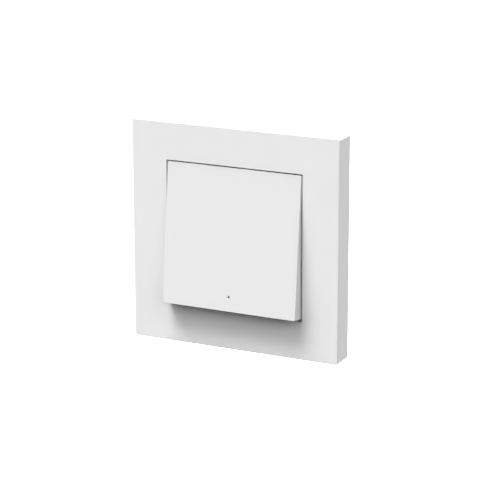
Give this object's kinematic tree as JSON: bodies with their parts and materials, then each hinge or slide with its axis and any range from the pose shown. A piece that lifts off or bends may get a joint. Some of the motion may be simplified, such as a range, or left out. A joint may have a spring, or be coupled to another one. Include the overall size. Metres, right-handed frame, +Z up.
{
  "type": "wireless remote wall switch",
  "caption": "Square white wall switch that works by radio: a cover frame round a wedge-shaped rocker key that tilts, on a screwed mounting plate.",
  "frame": {"origin": "centre of the back face, in the plane of the wall", "axes": "+X to the right seen from the front, +Y back into the wall, +Z up"},
  "size_m": [0.086, 0.0142, 0.086],
  "materials": {
    "frame_white": "satin moulded white",
    "key_white": "satin moulded white",
    "plate_grey": "moulded light grey",
    "housing_white": "moulded off-white",
    "board_green": "solder-masked laminate",
    "cell_steel": "nickel-plated can",
    "contact_spring": "plated spring strip",
    "switch_black": "moulded black",
    "plunger_red": "moulded red",
    "guide_clear": "clear acrylic",
    "led_white": "moulded lens",
    "chip_black": "moulded package",
    "crystal_can": "drawn can",
    "reservoir_amber": "moulded package",
    "antenna_gold": "plated strip",
    "component_tan": "fired ceramic",
    "screw_steel": "zinc-plated"
  },
  "bodies": {
    "switch_unit": {"cover_frame": "frame_white", "mounting_plate": "plate_grey", "rear_housing": "housing_white", "front_housing": "housing_white", "circuit_board": "board_green", "coin_cell_left": "cell_steel", "coin_cell_right": "cell_steel", "positive_contact_left": "contact_spring", "positive_contact_right": "contact_spring", "negative_contact_left": "contact_spring", "negative_contact_right": "contact_spring", "upper_switch_body": "switch_black", "lower_switch_body": "switch_black", "pairing_switch_body": "switch_black", "status_led": "led_white", "radio_chip": "chip_black", "quartz_crystal": "crystal_can", "reservoir_capacitor": "reservoir_amber", "antenna": "antenna_gold", "chip_components": "component_tan", "housing_screws": "screw_steel"},
    "rocker": {"rocker": "key_white"},
    "upper_plunger": {"upper_plunger": "plunger_red"},
    "lower_plunger": {"lower_plunger": "plunger_red"},
    "pairing_button": {"light_guide": "guide_clear", "pairing_plunger": "plunger_red"}
  },
  "joints": [
    {"name": "rocker_pivot", "type": "hinge", "parent": "switch_unit", "child": "rocker", "pos_m": [0, -0.0079, 0], "axis": [1, 0, 0], "range_deg": [-2, 2], "stiffness_Nm_per_rad": 1.2},
    {"name": "upper_plunger_slide", "type": "slide", "parent": "switch_unit", "child": "upper_plunger", "axis": [0, 1, 0], "range_m": [-0.00053, 0.00053]},
    {"name": "lower_plunger_slide", "type": "slide", "parent": "switch_unit", "child": "lower_plunger", "axis": [0, 1, 0], "range_m": [-0.00053, 0.00053]},
    {"name": "pairing_press", "type": "slide", "parent": "switch_unit", "child": "pairing_button", "axis": [0, 1, 0], "range_m": [0, 0.0003], "stiffness_N_per_m": 2000}
  ],
  "couplings": [
    {"joint": "upper_plunger_slide", "follows": "rocker_pivot", "m_per_rad": -0.015},
    {"joint": "lower_plunger_slide", "follows": "rocker_pivot", "m_per_rad": 0.015}
  ]
}
